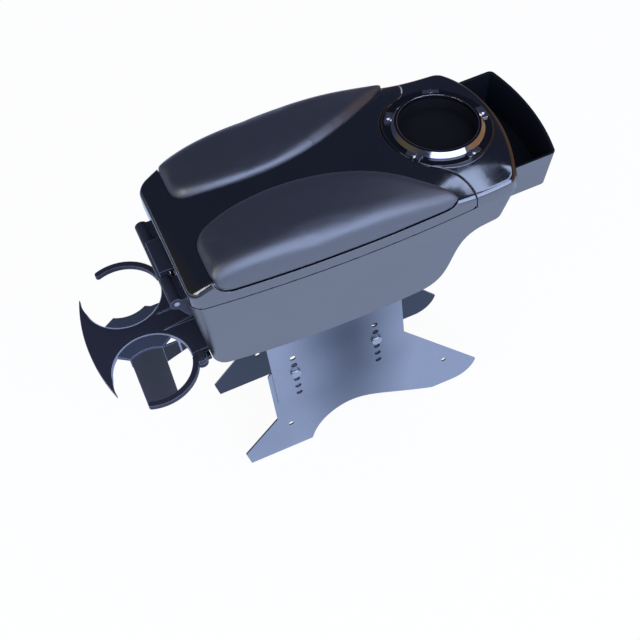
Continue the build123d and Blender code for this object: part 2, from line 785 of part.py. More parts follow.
with BuildPart() as cup_holder:
    with BuildSketch(Plane.XY.offset(cup_plate_bottom)):
        with Locations((crescent_x + crescent_radius, 0)):
            Circle(crescent_radius)
        with Locations((cup_root - crescent_radius, 0)):
            Rectangle(2 * crescent_radius, 2 * crescent_half, mode=Mode.INTERSECT)
        for side in (-1, 1):
            with Locations((cup_root, side * (root_half + crescent_half))):
                Rectangle(2 * (cup_root - cup_x), 2 * crescent_half, mode=Mode.SUBTRACT)
            with Locations((cup_x, side * cup_y)):
                Circle(cup_ring, mode=Mode.SUBTRACT)
            with Locations((cup_x - tip_shift, side * tip_y)):
                Circle(tip_ring, mode=Mode.SUBTRACT)
            with BuildLine():
                Polyline((cup_x - lip_root_half, side * lip_root_y), (cup_x - lip_half, side * lip_y),
                         (cup_x + lip_half, side * lip_y), (cup_x + lip_root_half, side * lip_root_y),
                         (cup_x, 0), close=True)
            make_face()
            with Locations((cup_x, side * can_y)):
                Circle(can_radius, mode=Mode.SUBTRACT)
    extrude(amount=cup_plate)
    # Shallow cones that slope the lips towards the middle of each ring
    with Locations(*[(cup_x, side * cup_y, cup_plate_top - lip_drop / 2) for side in (-1, 1)]):
        Cone(can_radius - can_y + cup_y - lip_overcut, lip_cone_radius, lip_drop, mode=Mode.SUBTRACT)
    # Curved cradles that hang below the lips
    with BuildSketch(Plane.XY.offset(cradle_bottom)):
        for side in (-1, 1):
            with Locations((cup_x, side * can_y)):
                Circle(cradle_radius)
                Circle(can_radius, mode=Mode.SUBTRACT)
        with Locations((cup_x, 0)):
            Rectangle(2 * lip_half, 2 * lip_y, mode=Mode.INTERSECT)
    extrude(amount=cup_plate_bottom - cradle_bottom)
    fillet(cup_holder.edges().filter_by(Axis.Y).group_by(Axis.Z)[0], cradle_corner)
    # Lugs under the arms' bosses, and the blocks that carry them
    with BuildSketch(Plane.XY.offset(lug_top)):
        for side in (-1, 1):
            with Locations(((arm_pivot_x + cup_root) / 2, side * (lug_root + arm_pivot_y) / 2)):
                Rectangle(cup_root - arm_pivot_x, arm_pivot_y - lug_root)
            with Locations((arm_pivot_x, side * arm_pivot_y)):
                Circle(arm_boss)
                Circle(pivot_radius + running_clearance, mode=Mode.SUBTRACT)
    extrude(amount=-lug)
    with BuildSketch(Plane.XY.offset(lug_top - lug)):
        for side in (-1, 1):
            with Locations(((arm_pivot_x + cup_root) / 2, side * (lug_root + root_half) / 2)):
                Rectangle(cup_root - arm_pivot_x, root_half - lug_root)
    extrude(amount=cup_plate_bottom - lug_top + lug)
    # Braces from the cradles to the root, and the root's flange on the end wall
    for side in (-1, 1):
        with BuildSketch(Plane.XZ.offset(side * brace_y)):
            with BuildLine():
                Polyline((brace_x, brace_low_outer), (wall_x(brace_low_inner) - brace_end, brace_low_inner),
                         (cup_root - brace_end, cup_plate_bottom), (brace_x, cup_plate_bottom), close=True)
            make_face()
        extrude(amount=side * brace_wall)
    with BuildSketch(Plane.XZ):
        with BuildLine():
            Polyline((wall_x(root_flange_low), root_flange_low), (cup_root, cup_plate_top),
                     (cup_root - root_flange, cup_plate_top),
                     (wall_x(root_flange_low) - root_flange, root_flange_low), close=True)
        make_face()
    extrude(amount=root_flange_half, both=True)
    for side in (-1, 1):
        with BuildSketch(Plane.XZ.offset(side * gusset_y)):
            with BuildLine():
                Polyline((cup_root - gusset_reach, cup_plate_top), (cup_root, cup_plate_top),
                         (wall_x(cup_plate_top + gusset_rise), cup_plate_top + gusset_rise), close=True)
            make_face()
        extrude(amount=side * gusset_wall)
    for y, height in cup_screws_at:
        with BuildSketch(end_wall_plane(y, height, 0)):
            Circle(hinge_screw + running_clearance)
        extrude(amount=2 * root_flange, mode=Mode.SUBTRACT)
save(cup_holder.part, "cup_holder")

with BuildPart() as cup_holder_screws:
    for y, height in cup_screws_at:
        with BuildSketch(end_wall_plane(y, height, cup_screw_seat)):
            Circle(hinge_screw_head)
        extrude(amount=hinge_screw_head_height)
        with BuildSketch(end_wall_plane(y, height, cup_screw_seat)):
            Circle(hinge_screw)
        extrude(amount=-(cup_screw_seat + wall))
save(cup_holder_screws.part, "cup_holder_screws")

# Arms: curved fingers that close the rings, each on a pin beside the plate's root
with BuildPart() as cup_arm_near:
    with BuildSketch(Plane.XY.offset(arm_bottom)):
        finger = CenterArc((cup_x, -cup_y), cup_ring + arm_width / 2, -arm_root_angle,
                           arm_root_angle - arm_tip_angle)
        SlotArc(finger, arm_width)
        with Locations((arm_pivot_x, -arm_pivot_y)):
            Circle(arm_boss)
            Circle(pivot_radius + running_clearance, mode=Mode.SUBTRACT)
    extrude(amount=arm_height)
save(cup_arm_near.part, "cup_arm_near")

with BuildPart() as cup_arm_far:
    mirror(cup_arm_near.part, about=Plane.XZ)
save(cup_arm_far.part, "cup_arm_far")

with BuildPart() as arm_pins:
    with BuildSketch(Plane.XY.offset(cup_plate_top + body_gap)):
        with Locations((arm_pivot_x, -arm_pivot_y)):
            Circle(pivot_head)
    extrude(amount=pivot_head_height)
    with BuildSketch(Plane.XY.offset(cup_plate_top + body_gap)):
        with Locations((arm_pivot_x, -arm_pivot_y)):
            Circle(pivot_radius)
    extrude(amount=lug_top - lug - cup_plate_top - body_gap)
    mirror(about=Plane.XZ)
save(arm_pins.part, "arm_pins")
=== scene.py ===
"""Looks of a car centre armrest: gloss lid, leather pads, satin box, cup holder and steel foot."""
from math import radians, sqrt

import bpy
from mathutils import Matrix, Vector
from mathutils.bvhtree import BVHTree


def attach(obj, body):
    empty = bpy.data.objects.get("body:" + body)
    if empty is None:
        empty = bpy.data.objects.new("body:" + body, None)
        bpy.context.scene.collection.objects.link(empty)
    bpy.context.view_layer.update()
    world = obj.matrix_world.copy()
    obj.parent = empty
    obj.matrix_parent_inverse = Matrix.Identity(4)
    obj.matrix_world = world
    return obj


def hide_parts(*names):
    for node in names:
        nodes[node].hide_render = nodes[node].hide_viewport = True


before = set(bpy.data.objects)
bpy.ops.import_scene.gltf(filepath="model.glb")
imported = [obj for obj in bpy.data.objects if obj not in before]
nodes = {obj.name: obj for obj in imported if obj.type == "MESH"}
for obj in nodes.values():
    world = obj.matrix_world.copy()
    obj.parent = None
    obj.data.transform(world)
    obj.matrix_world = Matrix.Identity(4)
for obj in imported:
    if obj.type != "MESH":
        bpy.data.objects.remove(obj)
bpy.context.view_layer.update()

MM = 0.001

# Edge rounding of the moulded and stamped pieces
moulded_edge = 0.8 * MM
gloss_edge = 1.8 * MM
stamped_edge = 0.5 * MM
edge_samples = 8
rounded_angle = radians(28)
flat_angle = radians(0.4)
weld_distance = 0.002 * MM

# Part of its range that a noise pattern mostly fills
noise_range = {"From Min": 0.3, "From Max": 0.7}

# Axis of the tray's ring, its plated cone and inner lip, and the radius at which the cover's polish begins
ring_middle = (0.1435, 0, 0.356)
ring_turn = (0, radians(6), 0)
cone_radius = 42.1 * MM
lip_radius = 40.0 * MM
lip_foot = 4.8 * MM
polished_radius = 54.0 * MM

# Gloss: IOR of the land round the ring and of the polished rest, and the coat on the rest
land_ior = 1.9
polished_ior = 2.75
polished_coat = 0.5

# Satin: middle of the box's mouth, from which inside faces are told from outside ones, and the IOR of each
mouth_middle = (0, 0, 0.4)
inside_ior = 1.35
outside_ior = 3.2

# Cup holder: middle of a cup ring on either side, its radius, inside which the lips are painted lighter and
# at which a highlight line is painted, the plate's underside, below which shade is painted, and the plain
# tone
cup_middle = (0.1935, 0.04875, 0)
cup_ring = 40 * MM
cup_plate_bottom = 228.8 * MM
nylon_tone = "#282a37"

# Sheet steel: its pieces, the stretch of its rolling lines, and the middle and reach of its darker band of
# painted reflection
steel_pieces = ("bracket_near", "bracket_far", "leg_plate_near", "leg_plate_far")
rolled_stretch = (0.04, 1.0, 1.0)
painted_band_middle = 10 * MM
painted_band_reach = 85 * MM

# Leather: how far its cells wander, and the width of a crease as a share of a cell
cell_wander = 0.004
crease_width = 0.16

# Leather pads: mesh, smoothing, draw-down of the edge, the lid's outer side, and the swelling of the cover
pad_voxel = 1.6 * MM
pad_smoothing = 0.5
pad_round_steps = 26
pad_settle_steps = 20
pad_taper_width = 13 * MM
pad_taper = 0.78
pad_side = 78 * MM
pad_side_fade = 14 * MM
pad_pressure = 4.0
pad_swell = 1.0 * MM
pad_frames = 20

# Steepness that parts a pad's upright walls from its top and its seat, as the Z of their normals
upright_limit = 0.1

# Floor: size, drop below the feet, and the share of its own light where it is seen
floor_size = 12
floor_drop = 0.5 * MM
floor_glow = 0.95

# Stretches of the floor over which its reflected colour changes, in metres along Y and X
floor_back = (-0.15, 0.1)
floor_right = (0.4, 0.7)
floor_left = (-0.4, -0.8)

# Stretches of the reflected room over which its colour changes, as parts of a direction along Y, Z and X
room_back = (0.0, 0.4)
room_ceiling = (0.3, 0.46)
room_foot = (0.16, 0.08)
room_left = (-0.6, -0.75)
room_right = (0.65, 0.85)
room_light = 0.6

# Point that the lamps face
armrest_middle = Vector((0, 0, 0.25))

# Camera of the photograph
camera_place = Vector((-0.2201, -0.7758, 1.2050))
camera_right = Vector((0.91457, -0.39193, -0.09980))
camera_up = Vector((0.37106, 0.71495, 0.59255))
camera_back = Vector((-0.16089, -0.57896, 0.79930))
camera_lens = 69.21
camera_sensor = 36.0


# Materials

def linear(hex_colour):
    """An sRGB hex colour as linear RGBA."""
    channels = [int(hex_colour[i:i + 2], 16) / 255 for i in (1, 3, 5)]
    return [c / 12.92 if c <= 0.04045 else ((c + 0.055) / 1.055) ** 2.4 for c in channels] + [1.0]


def per_metre(size_mm):
    """Texture scale at which one cell of a pattern measures size_mm."""
    return 1000 / size_mm


def add_node(tree, kind, inputs, **settings):
    """A node with its settings, and its inputs set to values or linked to sockets."""
    made = tree.nodes.new(kind)
    for name, value in settings.items():
        setattr(made, name, value)
    for socket, value in inputs.items():
        if isinstance(value, bpy.types.NodeSocket):
            tree.links.new(value, made.inputs[socket])
        else:
            made.inputs[socket].default_value = value
    return made


def start_material(name):
    """An empty node material, its tree and the piece's own coordinates."""
    material = bpy.data.materials.new(name)
    material.use_nodes = True
    tree = material.node_tree
    tree.nodes.clear()
    place = add_node(tree, "ShaderNodeTexCoord", {}).outputs["Object"]
    return material, tree, place


def close_material(tree, shader):
    """Makes a shader the material's surface."""
    add_node(tree, "ShaderNodeOutputMaterial", {"Surface": shader.outputs[0]})


def off_axis(tree, place):
    """Distance of a place from the Z axis."""
    flat = add_node(tree, "ShaderNodeVectorMath", {0: place, 1: (1, 1, 0)}, operation="MULTIPLY")
    length = add_node(tree, "ShaderNodeVectorMath", {0: flat.outputs["Vector"]}, operation="LENGTH")
    return length.outputs["Value"]


def ring_reach(tree, place):
    """Distance from the axis of the tray's ring, and height along it."""
    ring = add_node(tree, "ShaderNodeMapping", {
        "Vector": place, "Location": ring_middle, "Rotation": ring_turn}, vector_type="TEXTURE")
    height = add_node(tree, "ShaderNodeSeparateXYZ", {"Vector": ring.outputs["Vector"]})
    return off_axis(tree, ring.outputs["Vector"]), height.outputs["Z"]


def blend(tree, value, span, first, second):
    """A colour that goes from first to second while a value crosses a span."""
    share = add_node(tree, "ShaderNodeMapRange", {"Value": value, "From Min": span[0], "From Max": span[1]})
    colour = add_node(tree, "ShaderNodeMix", {"Factor": share.outputs["Result"], "A": first, "B": second},
                      data_type="RGBA")
    return colour.outputs["Result"]


def gloss_black_abs():
    """Gloss black ABS from a polished tool: a deep wet shine with faint orange peel and cloudy rub marks."""
    material, tree, place = start_material("gloss_black_abs")
    peel = add_node(tree, "ShaderNodeTexNoise", {"Vector": place, "Scale": per_metre(11), "Detail": 1.0})
    wear_and_edge_light = add_node(tree, "ShaderNodeTexNoise", {"Vector": place, "Scale": per_metre(30), "Detail": 6.0})
    rough = add_node(tree, "ShaderNodeMapRange", {
        "Value": wear_and_edge_light.outputs["Fac"], **noise_range, "To Min": 0.07, "To Max": 0.13})
    radius = ring_reach(tree, place)[0]
    polished = add_node(tree, "ShaderNodeMath", {0: radius, 1: polished_radius}, operation="GREATER_THAN")
    shine = add_node(tree, "ShaderNodeMapRange", {
        "Value": polished.outputs["Value"], "To Min": land_ior, "To Max": polished_ior})
    coat = add_node(tree, "ShaderNodeMath", {0: polished.outputs["Value"], 1: polished_coat},
                    operation="MULTIPLY")
    edge = add_node(tree, "ShaderNodeBevel", {"Radius": gloss_edge}, samples=edge_samples)
    bump = add_node(tree, "ShaderNodeBump", {
        "Strength": 0.05, "Distance": 0.3 * MM, "Height": peel.outputs["Fac"],
        "Normal": edge.outputs["Normal"]})
    shader = add_node(tree, "ShaderNodeBsdfPrincipled", {
        "Base Color": linear("#090a0f"), "Roughness": rough.outputs["Result"],
        "IOR": shine.outputs["Result"], "Coat Weight": coat.outputs["Value"], "Coat Roughness": 0.04,
        "Normal": bump.outputs["Normal"]})
    close_material(tree, shader)
    return material


def satin_abs():
    """Charcoal ABS with a spark-eroded grain: soft blue-grey reflections outside, and a dull black inside."""
    material, tree, place = start_material("satin_abs")
    away = add_node(tree, "ShaderNodeVectorMath", {0: place, 1: mouth_middle}, operation="SUBTRACT")
    facing = add_node(tree, "ShaderNodeNewGeometry", {}).outputs["Normal"]
    side = add_node(tree, "ShaderNodeVectorMath", {0: away.outputs["Vector"], 1: facing},
                    operation="DOT_PRODUCT")
    outside = add_node(tree, "ShaderNodeMath", {0: side.outputs["Value"], 1: 0.0}, operation="GREATER_THAN")
    shine = add_node(tree, "ShaderNodeMapRange", {
        "Value": outside.outputs["Value"], "To Min": inside_ior, "To Max": outside_ior})
    grain = add_node(tree, "ShaderNodeTexNoise", {"Vector": place, "Scale": per_metre(1.1), "Detail": 3.0})
    cloud = add_node(tree, "ShaderNodeTexNoise", {"Vector": place, "Scale": per_metre(55), "Detail": 4.0})
    rough = add_node(tree, "ShaderNodeMapRange", {
        "Value": cloud.outputs["Fac"], **noise_range, "To Min": 0.36, "To Max": 0.44})
    tone = add_node(tree, "ShaderNodeMix", {
        "Factor": cloud.outputs["Fac"], "A": linear("#101319"), "B": linear("#161a22")}, data_type="RGBA")
    edge = add_node(tree, "ShaderNodeBevel", {"Radius": moulded_edge}, samples=edge_samples)
    bump = add_node(tree, "ShaderNodeBump", {
        "Strength": 0.12, "Distance": 0.15 * MM, "Height": grain.outputs["Fac"],
        "Normal": edge.outputs["Normal"]})
    shader = add_node(tree, "ShaderNodeBsdfPrincipled", {
        "Base Color": tone.outputs["Result"], "Roughness": rough.outputs["Result"],
        "IOR": shine.outputs["Result"], "Normal": bump.outputs["Normal"]})
    close_material(tree, shader)
    return material


def cup_tones(tree, place, wear_and_edge_light):
    """Tone of the cup holder, with lips painted lighter, the underside painted darker as shade, and the
    painted edge highlights joined by a painted highlight line at the rings' edges.
    """
    both = add_node(tree, "ShaderNodeVectorMath", {0: place}, operation="ABSOLUTE")
    away = add_node(tree, "ShaderNodeVectorMath", {0: both.outputs["Vector"], 1: cup_middle},
                    operation="SUBTRACT")
    radius = off_axis(tree, away.outputs["Vector"])
    # Painted light: the sloped lips inside the rings get a paler tone.
    lip = add_node(tree, "ShaderNodeMath", {0: radius, 1: cup_ring}, operation="LESS_THAN")
    top_with_painted_lips = add_node(tree, "ShaderNodeMix", {
        "Factor": lip.outputs["Value"], "A": linear(nylon_tone), "B": linear("#3a4254")}, data_type="RGBA")
    # Painted shade: faces below the plate's underside get a darker tone.
    height = add_node(tree, "ShaderNodeSeparateXYZ", {"Vector": place}).outputs["Z"]
    above_painted_shade = add_node(tree, "ShaderNodeMath", {0: height, 1: cup_plate_bottom}, operation="GREATER_THAN")
    plain = add_node(tree, "ShaderNodeMix", {
        "Factor": above_painted_shade.outputs["Value"], "A": linear("#11121a"), "B": top_with_painted_lips.outputs["Result"]},
        data_type="RGBA")
    # Painted highlight: a pale line where the lips meet the rings' edge, joined to the painted edge
    # highlights.
    painted_ring_line = add_node(tree, "ShaderNodeMath", {0: radius, 1: cup_ring, 2: moulded_edge}, operation="COMPARE")
    painted_edge_and_ring_light = add_node(tree, "ShaderNodeMath", {0: wear_and_edge_light, 1: painted_ring_line.outputs["Value"]}, operation="MAXIMUM")
    return plain.outputs["Result"], painted_edge_and_ring_light.outputs["Value"]


def matt_black_nylon(name, holds_cups):
    """Black glass-filled nylon: nearly black and dull, with a fine flow-marked grain and paler edges as
    painted highlights.
    """
    material, tree, place = start_material(name)
    grain = add_node(tree, "ShaderNodeTexNoise", {"Vector": place, "Scale": per_metre(0.9), "Detail": 4.0})
    flow = add_node(tree, "ShaderNodeTexNoise", {"Vector": place, "Scale": per_metre(24), "Distortion": 1.5})
    rough = add_node(tree, "ShaderNodeMapRange", {
        "Value": flow.outputs["Fac"], **noise_range, "To Min": 0.34, "To Max": 0.42})
    # Painted highlight: edges, where the rounded normal turns away from the face's own, get a pale colour.
    facing = add_node(tree, "ShaderNodeNewGeometry", {}).outputs["True Normal"]
    edge = add_node(tree, "ShaderNodeBevel", {"Radius": moulded_edge}, samples=edge_samples)
    turn = add_node(tree, "ShaderNodeVectorMath", {0: edge.outputs["Normal"], 1: facing},
                    operation="DOT_PRODUCT")
    painted_edge_light = add_node(tree, "ShaderNodeMapRange", {
        "Value": turn.outputs["Value"], "From Min": 0.98, "From Max": 0.8})
    plain = linear(nylon_tone)
    # The painted edge highlights, which the cup holder joins with its painted ring lines.
    wear_and_edge_light = painted_edge_light.outputs["Result"]
    if holds_cups:
        plain, wear_and_edge_light = cup_tones(tree, place, wear_and_edge_light)
    tone = add_node(tree, "ShaderNodeMix", {"Factor": wear_and_edge_light, "A": plain, "B": linear("#9298aa")},
                    data_type="RGBA")
    bump = add_node(tree, "ShaderNodeBump", {
        "Strength": 0.1, "Distance": 0.15 * MM, "Height": grain.outputs["Fac"],
        "Normal": edge.outputs["Normal"]})
    shader = add_node(tree, "ShaderNodeBsdfPrincipled", {
        "Base Color": tone.outputs["Result"], "Roughness": rough.outputs["Result"], "IOR": 1.45,
        "Normal": bump.outputs["Normal"]})
    close_material(tree, shader)
    return material


def tray_black_abs():
    """Unpolished black ABS of the tray and the lid's liner: a flat deep black with a dusty grain."""
    material, tree, place = start_material("tray_black_abs")
    grain = add_node(tree, "ShaderNodeTexNoise", {"Vector": place, "Scale": per_metre(0.8), "Detail": 4.0})
    bump = add_node(tree, "ShaderNodeBump", {
        "Strength": 0.15, "Distance": 0.15 * MM, "Height": grain.outputs["Fac"]})
    rough = add_node(tree, "ShaderNodeMapRange", {
        "Value": grain.outputs["Fac"], **noise_range, "To Min": 0.5, "To Max": 0.6})
    shader = add_node(tree, "ShaderNodeBsdfPrincipled", {
        "Base Color": linear("#0d0d13"), "Roughness": rough.outputs["Result"], "IOR": 1.45,
        "Normal": bump.outputs["Normal"]})
    close_material(tree, shader)
    return material


def black_leather():
    """Black embossed leathercloth over foam: pebbled cells with soft creases and a broad blue-grey sheen."""
    material, tree, place = start_material("black_leather")
    warp = add_node(tree, "ShaderNodeTexNoise", {"Vector": place, "Scale": per_metre(9), "Detail": 3.0})
    bent = add_node(tree, "ShaderNodeMix", {"Factor": cell_wander, "A": place, "B": warp.outputs["Color"]},
                    data_type="VECTOR")
    # The cells are drawn about twice as coarse as the real 0.9 mm grain, so that they show in the render.
    cells = add_node(tree, "ShaderNodeTexVoronoi", {
        "Vector": bent.outputs["Result"], "Scale": per_metre(1.9)}, feature="DISTANCE_TO_EDGE")
    crease = add_node(tree, "ShaderNodeMapRange", {
        "Value": cells.outputs["Distance"], "From Max": crease_width})
    tone = add_node(tree, "ShaderNodeMix", {
        "Factor": warp.outputs["Fac"], "A": linear("#141720"), "B": linear("#1b1f2b")}, data_type="RGBA")
    rough = add_node(tree, "ShaderNodeMapRange", {
        "Value": crease.outputs["Result"], "To Min": 0.5, "To Max": 0.38})
    bump = add_node(tree, "ShaderNodeBump", {
        "Strength": 0.22, "Distance": 0.2 * MM, "Height": crease.outputs["Result"]})
    shader = add_node(tree, "ShaderNodeBsdfPrincipled", {
        "Base Color": tone.outputs["Result"], "Roughness": rough.outputs["Result"], "IOR": 2.65,
        "Sheen Weight": 0.12, "Sheen Roughness": 0.5, "Sheen Tint": linear("#b4c2e6"),
        "Normal": bump.outputs["Normal"]})
    close_material(tree, shader)
    return material


def chrome_plate():
    """Chrome plate on a stamped ring: a hazy, wavy mirror on cone and inner lip, and a black flat."""
    material, tree, place = start_material("chrome_plate")
    radius, height = ring_reach(tree, place)
    cone = add_node(tree, "ShaderNodeMath", {0: radius, 1: cone_radius}, operation="GREATER_THAN")
    inside = add_node(tree, "ShaderNodeMath", {0: radius, 1: lip_radius}, operation="LESS_THAN")
    high = add_node(tree, "ShaderNodeMath", {0: height, 1: lip_foot}, operation="GREATER_THAN")
    lip = add_node(tree, "ShaderNodeMath", {0: inside.outputs["Value"], 1: high.outputs["Value"]},
                   operation="MINIMUM")
    plated = add_node(tree, "ShaderNodeMath", {0: cone.outputs["Value"], 1: lip.outputs["Value"]},
                      operation="MAXIMUM")
    haze = add_node(tree, "ShaderNodeTexNoise", {"Vector": place, "Scale": per_metre(6), "Detail": 4.0})
    rough = add_node(tree, "ShaderNodeMapRange", {
        "Value": haze.outputs["Fac"], **noise_range, "To Min": 0.05, "To Max": 0.12})
    edge = add_node(tree, "ShaderNodeBevel", {"Radius": stamped_edge}, samples=edge_samples)
    bump = add_node(tree, "ShaderNodeBump", {
        "Strength": 0.06, "Distance": 0.2 * MM, "Height": haze.outputs["Fac"],
        "Normal": edge.outputs["Normal"]})
    tone = add_node(tree, "ShaderNodeMix", {
        "Factor": plated.outputs["Value"], "A": linear("#0b0b10"), "B": linear("#ebe8e6")},
        data_type="RGBA")
    shader = add_node(tree, "ShaderNodeBsdfPrincipled", {
        "Base Color": tone.outputs["Result"], "Metallic": plated.outputs["Value"],
        "Roughness": rough.outputs["Result"], "Normal": bump.outputs["Normal"]})
    close_material(tree, shader)
    return material


def blued_sheet_steel():
    """Thinly blued cold-rolled steel: rolling lines along X, painted cloudy reflections, a darker band of
    painted reflection and painted shade on inner faces.
    """
    material, tree, place = start_material("blued_sheet_steel")
    along = add_node(tree, "ShaderNodeMapping", {"Vector": place, "Scale": rolled_stretch})
    lines = add_node(tree, "ShaderNodeTexNoise", {
        "Vector": along.outputs["Vector"], "Scale": per_metre(1.4), "Detail": 4.0})
    # Painted reflection: soft dark clouds and a darker band across the plates are put into the base colour.
    cloud = add_node(tree, "ShaderNodeTexNoise", {"Vector": place, "Scale": per_metre(130), "Detail": 1.0})
    length = add_node(tree, "ShaderNodeSeparateXYZ", {"Vector": place}).outputs["X"]
    apart = add_node(tree, "ShaderNodeMath", {0: length, 1: painted_band_middle}, operation="SUBTRACT")
    band = add_node(tree, "ShaderNodeMath", {0: apart.outputs["Value"]}, operation="ABSOLUTE")
    clear = add_node(tree, "ShaderNodeMapRange", {
        "Value": band.outputs["Value"], "From Max": painted_band_reach, "To Min": -0.2, "To Max": 0.5},
        interpolation_type="SMOOTHSTEP")
    painted_reflection_share = add_node(tree, "ShaderNodeMath", {0: cloud.outputs["Fac"], 1: clear.outputs["Result"]},
                     operation="ADD", use_clamp=True)
    sheen = add_node(tree, "ShaderNodeMix", {
        "Factor": painted_reflection_share.outputs["Value"], "A": linear("#565c66"), "B": linear("#adb2bb")},
        data_type="RGBA")
    # Painted shade: faces on the plates' inner side, which lie in shade, get a darker base colour.
    facing = add_node(tree, "ShaderNodeNewGeometry", {}).outputs["Normal"]
    turned = add_node(tree, "ShaderNodeVectorMath", {0: place, 1: facing}, operation="MULTIPLY")
    away = add_node(tree, "ShaderNodeSeparateXYZ", {"Vector": turned.outputs["Vector"]}).outputs["Y"]
    inner = add_node(tree, "ShaderNodeMath", {0: away, 1: 0.0}, operation="LESS_THAN")
    tone = add_node(tree, "ShaderNodeMix", {
        "Factor": inner.outputs["Value"], "A": sheen.outputs["Result"], "B": linear("#4b5059")},
        data_type="RGBA")
    rough = add_node(tree, "ShaderNodeMapRange", {
        "Value": lines.outputs["Fac"], **noise_range, "To Min": 0.27, "To Max": 0.36})
    bump = add_node(tree, "ShaderNodeBump", {
        "Strength": 0.04, "Distance": 0.1 * MM, "Height": lines.outputs["Fac"]})
    shader = add_node(tree, "ShaderNodeBsdfPrincipled", {
        "Base Color": tone.outputs["Result"], "Metallic": 0.9, "Roughness": rough.outputs["Result"],
        "Normal": bump.outputs["Normal"]})
    close_material(tree, shader)
    return material


def zinc_plate():
    """Bright zinc plate on screws, nuts and pins: pale metal with a faint crystalline mottling."""
    material, tree, place = start_material("zinc_plate")
    spangle = add_node(tree, "ShaderNodeTexVoronoi", {"Vector": place, "Scale": per_metre(1.2)})
    rough = add_node(tree, "ShaderNodeMapRange", {
        "Value": spangle.outputs["Distance"], "To Min": 0.2, "To Max": 0.34})
    tone = add_node(tree, "ShaderNodeMix", {
        "Factor": spangle.outputs["Distance"], "A": linear("#c9cbd2"), "B": linear("#aeb0b8")},
        data_type="RGBA")
    shader = add_node(tree, "ShaderNodeBsdfPrincipled", {
        "Base Color": tone.outputs["Result"], "Metallic": 1.0, "Roughness": rough.outputs["Result"]})
    close_material(tree, shader)
    return material


# CAD nodes: their finish and their softened edges

def soften_edges(node):
    """Rounds a stamped node's edges by live modifiers; its own mesh stays as it is."""
    weld = node.modifiers.new("joined_faces", "WELD")
    weld.merge_threshold = weld_distance
    flat = node.modifiers.new("whole_faces", "DECIMATE")
    flat.decimate_type = "DISSOLVE"
    flat.angle_limit = flat_angle
    bevel = node.modifiers.new("rounded_edges", "BEVEL")
    bevel.width = stamped_edge
    bevel.segments = 2
    bevel.limit_method = "ANGLE"
    bevel.angle_limit = rounded_angle
    bevel.harden_normals = True
    bevel.miter_outer = "MITER_ARC"


def dress_cad_nodes():
    """Gives every CAD node its finish, and the sheet steel its rounded edges."""
    finishes = {
        gloss_black_abs(): ("lid_shell", "top_cover"),
        satin_abs(): ("storage_box", "drawer"),
        matt_black_nylon("cup_holder_nylon", holds_cups=True): ("cup_holder",),
        matt_black_nylon("matt_black_nylon", holds_cups=False): (
            "cup_arm_near", "cup_arm_far", "hinge_base", "lid_hinge_leaf"),
        tray_black_abs(): ("round_tray", "lid_liner"),
        chrome_plate(): ("tray_bezel", "bezel_screws"),
        blued_sheet_steel(): steel_pieces,
        zinc_plate(): (
            "leg_screws", "leg_nuts", "floor_screws", "floor_nuts", "hinge_pin", "hinge_screws",
            "leaf_screws", "cup_holder_screws", "arm_pins"),
        black_leather(): ("pad_near", "pad_far"),
    }
    for material, names in finishes.items():
        for name in names:
            nodes[name].data.materials.clear()
            nodes[name].data.materials.append(material)
    for name in steel_pieces:
        soften_edges(nodes[name])


# Leather pads

def select_only(piece):
    """Selects one piece and makes it the active one."""
    bpy.ops.object.select_all(action="DESELECT")
    piece.select_set(True)
    bpy.context.view_layer.objects.active = piece


def apply_modifiers(piece):
    """Applies all of a piece's modifiers, in their order."""
    select_only(piece)
    for modifier in list(piece.modifiers):
        bpy.ops.object.modifier_apply(modifier=modifier.name)


def smooth_out(piece, steps):
    """Evens out a piece's surface, after any modifiers that it already has."""
    even = piece.modifiers.new("even", "SMOOTH")
    even.factor = pad_smoothing
    even.iterations = steps
    apply_modifiers(piece)


def taper(pad, cad_mesh):
    """Draws a pad's edge down into its pocket, all round but on the lid's outer side."""
    corners = [vertex.co for vertex in cad_mesh.vertices]
    faces = cad_mesh.polygons
    upright = [face.vertices for face in faces
               if abs(face.normal.z) < upright_limit and abs(face.center.y) < pad_side]
    walls = BVHTree.FromPolygons(corners, upright)
    whole = BVHTree.FromPolygons(corners, [face.vertices for face in faces])
    for vertex in pad.data.vertices:
        x, y, z = vertex.co
        near_wall = max(0.0, 1 - walls.find_nearest(vertex.co)[3] / pad_taper_width)
        on_top = min(1.0, max(0.0, (pad_side - abs(y)) / pad_side_fade))
        seat = whole.ray_cast(Vector((x, y, 0)), Vector((0, 0, 1)))[0]
        if seat:
            keep = 1 - pad_taper * on_top * (1 - sqrt(1 - near_wall ** 2))
            vertex.co.z = seat.z + (z - seat.z) * keep


def swell(pad, seat):
    """Inflates a pad as cloth held at its seat, with each point's movement capped."""
    start = [vertex.co.copy() for vertex in pad.data.vertices]
    cloth = pad.modifiers.new("swell", "CLOTH")
    cloth.settings.use_pressure = True
    cloth.settings.uniform_pressure_force = pad_pressure
    cloth.settings.effector_weights.gravity = 0
    cloth.settings.vertex_group_mass = seat
    for number in range(1, pad_frames + 1):
        bpy.context.scene.frame_set(number)
    apply_modifiers(pad)
    for vertex, before in zip(pad.data.vertices, start):
        step = vertex.co - before
        vertex.co = before + step * min(1.0, pad_swell / max(step.length, pad_swell))
    bpy.context.scene.frame_set(1)


